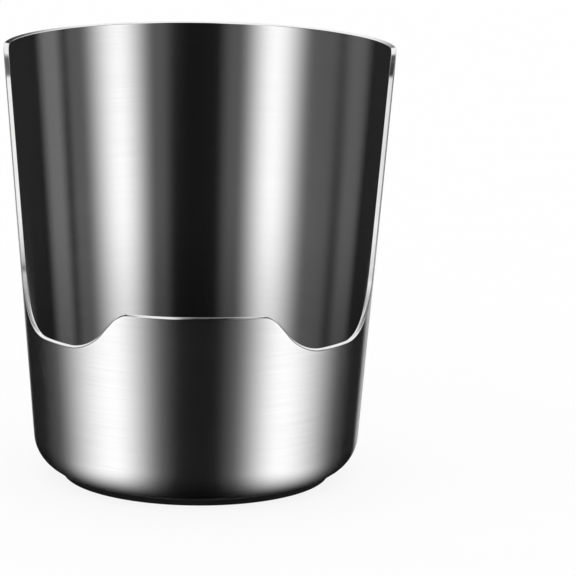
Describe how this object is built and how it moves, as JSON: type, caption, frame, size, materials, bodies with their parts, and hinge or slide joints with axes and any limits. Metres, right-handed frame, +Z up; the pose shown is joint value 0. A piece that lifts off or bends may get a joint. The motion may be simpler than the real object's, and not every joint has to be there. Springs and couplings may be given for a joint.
{
  "type": "utensil holder",
  "caption": "Tapered steel utensil cup, open at the front above a lip whose raised tongue stands between two notches for a pot lid, on a round non-slip pad.",
  "frame": {"origin": "centre of the underside of the non-slip pad, on the cup's axis", "axes": "+Z up along the cup's axis, -Y towards the window and the lip, +X to the right of someone facing the window"},
  "size_m": [0.14, 0.1333, 0.1562],
  "materials": {
    "brushed_steel": "finely brushed round the cup, with polished edges",
    "adhesive": "milky, matt",
    "black_rubber": "matt black, finely textured"
  },
  "bodies": {
    "root": {"cup": "brushed_steel", "adhesive_film": "adhesive", "non_slip_pad": "black_rubber"}
  },
  "joints": []
}
